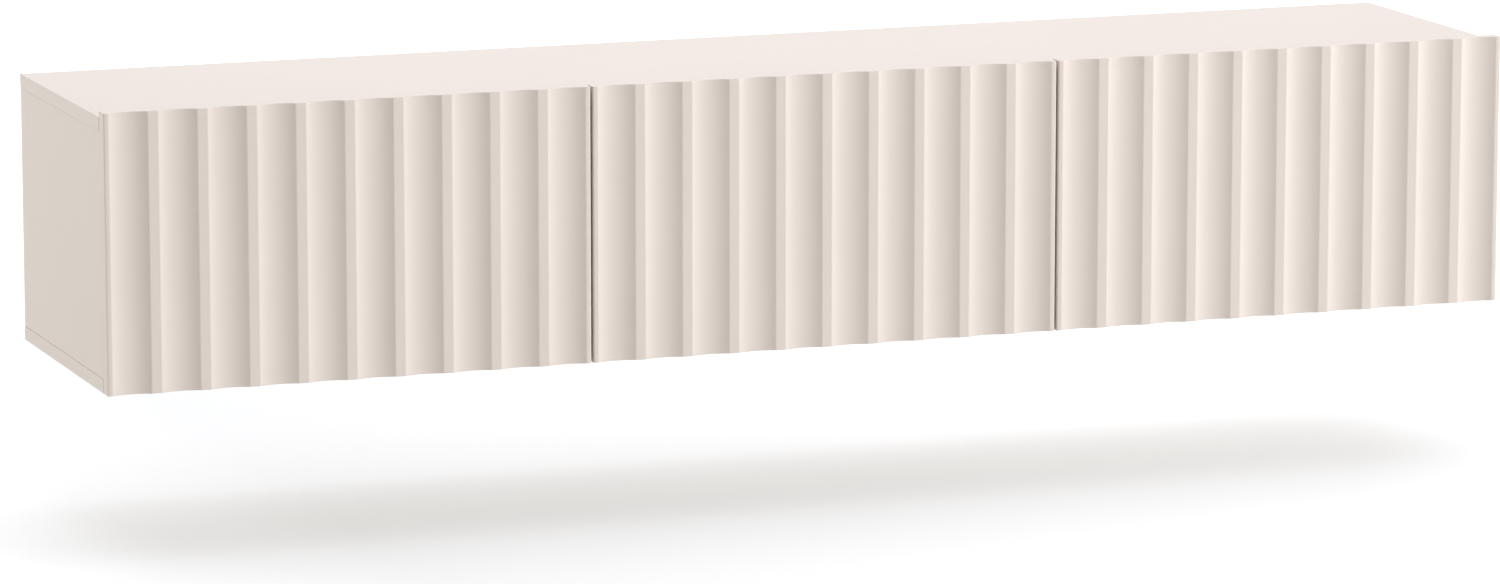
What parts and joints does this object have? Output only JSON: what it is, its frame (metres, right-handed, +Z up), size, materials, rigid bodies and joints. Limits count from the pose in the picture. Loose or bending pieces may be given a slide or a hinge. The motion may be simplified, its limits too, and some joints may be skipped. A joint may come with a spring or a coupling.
{
  "type": "floating media console",
  "caption": "Wall-hung media console: a low cabinet of compartments behind fluted drop-down flaps with concealed hinges and braking stays, hung from a steel wall rail.",
  "frame": {"origin": "middle of the wall rail's rear face, on the wall", "axes": "+X to the right as seen from the front, +Y into the wall, +Z up; the flaps face -Y"},
  "size_m": [1.9, 0.406, 0.3535],
  "materials": {
    "carcass_board": "cashmere satin foil on board",
    "fluted_front": "cashmere satin foil on milled fibreboard",
    "back_board": "cashmere lacquered hardboard",
    "nickel_steel": "bright nickel plate",
    "zinc_steel": "zinc plate",
    "galvanised_steel": "galvanised",
    "white_plastic": "matt moulded",
    "grey_plastic": "matt moulded"
  },
  "bodies": {
    "root": {"top_panel": "carcass_board", "bottom_panel": "carcass_board", "left_side_panel": "carcass_board", "right_side_panel": "carcass_board", "partition_1": "carcass_board", "partition_2": "carcass_board", "wall_rail": "galvanised_steel", "left_hanger": "white_plastic", "left_hanger_hook": "zinc_steel", "right_hanger": "white_plastic", "right_hanger_hook": "zinc_steel", "left_back_panel": "back_board", "left_hinge_1_arm": "nickel_steel", "left_hinge_1_plate": "zinc_steel", "left_hinge_2_arm": "nickel_steel", "left_hinge_2_plate": "zinc_steel", "left_stay_pivot": "zinc_steel", "left_magnetic_catch": "white_plastic", "middle_back_panel": "back_board", "middle_hinge_1_arm": "nickel_steel", "middle_hinge_1_plate": "zinc_steel", "middle_hinge_2_arm": "nickel_steel", "middle_hinge_2_plate": "zinc_steel", "middle_stay_pivot": "zinc_steel", "middle_magnetic_catch": "white_plastic", "right_back_panel": "back_board", "right_hinge_1_arm": "nickel_steel", "right_hinge_1_plate": "zinc_steel", "right_hinge_2_arm": "nickel_steel", "right_hinge_2_plate": "zinc_steel", "right_stay_pivot": "zinc_steel", "right_magnetic_catch": "white_plastic"},
    "left_flap": {"left_flap": "fluted_front", "left_hinge_1_cup": "nickel_steel", "left_hinge_1_pin": "nickel_steel", "left_hinge_2_cup": "nickel_steel", "left_hinge_2_pin": "nickel_steel", "left_stay_bracket": "nickel_steel", "left_strike_plate": "zinc_steel"},
    "left_stay_brake": {"left_stay_brake": "grey_plastic"},
    "left_stay_bar": {"left_stay_bar": "nickel_steel"},
    "middle_flap": {"middle_flap": "fluted_front", "middle_hinge_1_cup": "nickel_steel", "middle_hinge_1_pin": "nickel_steel", "middle_hinge_2_cup": "nickel_steel", "middle_hinge_2_pin": "nickel_steel", "middle_stay_bracket": "nickel_steel", "middle_strike_plate": "zinc_steel"},
    "middle_stay_brake": {"middle_stay_brake": "grey_plastic"},
    "middle_stay_bar": {"middle_stay_bar": "nickel_steel"},
    "right_flap": {"right_flap": "fluted_front", "right_hinge_1_cup": "nickel_steel", "right_hinge_1_pin": "nickel_steel", "right_hinge_2_cup": "nickel_steel", "right_hinge_2_pin": "nickel_steel", "right_stay_bracket": "nickel_steel", "right_strike_plate": "zinc_steel"},
    "right_stay_brake": {"right_stay_brake": "grey_plastic"},
    "right_stay_bar": {"right_stay_bar": "nickel_steel"}
  },
  "joints": [
    {"name": "left_flap_opening", "type": "hinge", "parent": "root", "child": "left_flap", "pos_m": [-0.63433, -0.3938, -0.2767], "axis": [1, 0, 0], "range_deg": [0, 90]},
    {"name": "left_stay_brake_swivel", "type": "hinge", "parent": "root", "child": "left_stay_brake", "pos_m": [-0.9314, -0.29056, -0.12925], "axis": [1, 0, 0], "range_deg": [0, 45]},
    {"name": "left_stay_bar_swivel", "type": "hinge", "parent": "left_flap", "child": "left_stay_bar", "pos_m": [-0.9314, -0.378, -0.09739], "axis": [1, 0, 0], "range_deg": [-45, 0]},
    {"name": "middle_flap_opening", "type": "hinge", "parent": "root", "child": "middle_flap", "pos_m": [0, -0.3938, -0.2767], "axis": [1, 0, 0], "range_deg": [0, 90]},
    {"name": "middle_stay_brake_swivel", "type": "hinge", "parent": "root", "child": "middle_stay_brake", "pos_m": [-0.30817, -0.29056, -0.12925], "axis": [1, 0, 0], "range_deg": [0, 45]},
    {"name": "middle_stay_bar_swivel", "type": "hinge", "parent": "middle_flap", "child": "middle_stay_bar", "pos_m": [-0.30817, -0.378, -0.09739], "axis": [1, 0, 0], "range_deg": [-45, 0]},
    {"name": "right_flap_opening", "type": "hinge", "parent": "root", "child": "right_flap", "pos_m": [0.63433, -0.3938, -0.2767], "axis": [1, 0, 0], "range_deg": [0, 90]},
    {"name": "right_stay_brake_swivel", "type": "hinge", "parent": "root", "child": "right_stay_brake", "pos_m": [0.32617, -0.29056, -0.12925], "axis": [1, 0, 0], "range_deg": [0, 45]},
    {"name": "right_stay_bar_swivel", "type": "hinge", "parent": "right_flap", "child": "right_stay_bar", "pos_m": [0.32617, -0.378, -0.09739], "axis": [1, 0, 0], "range_deg": [-45, 0]}
  ],
  "couplings": [
    {"joint": "left_stay_brake_swivel", "follows": "left_flap_opening", "ratio": 0.5},
    {"joint": "left_stay_bar_swivel", "follows": "left_flap_opening", "ratio": -0.5},
    {"joint": "middle_stay_brake_swivel", "follows": "middle_flap_opening", "ratio": 0.5},
    {"joint": "middle_stay_bar_swivel", "follows": "middle_flap_opening", "ratio": -0.5},
    {"joint": "right_stay_brake_swivel", "follows": "right_flap_opening", "ratio": 0.5},
    {"joint": "right_stay_bar_swivel", "follows": "right_flap_opening", "ratio": -0.5}
  ]
}
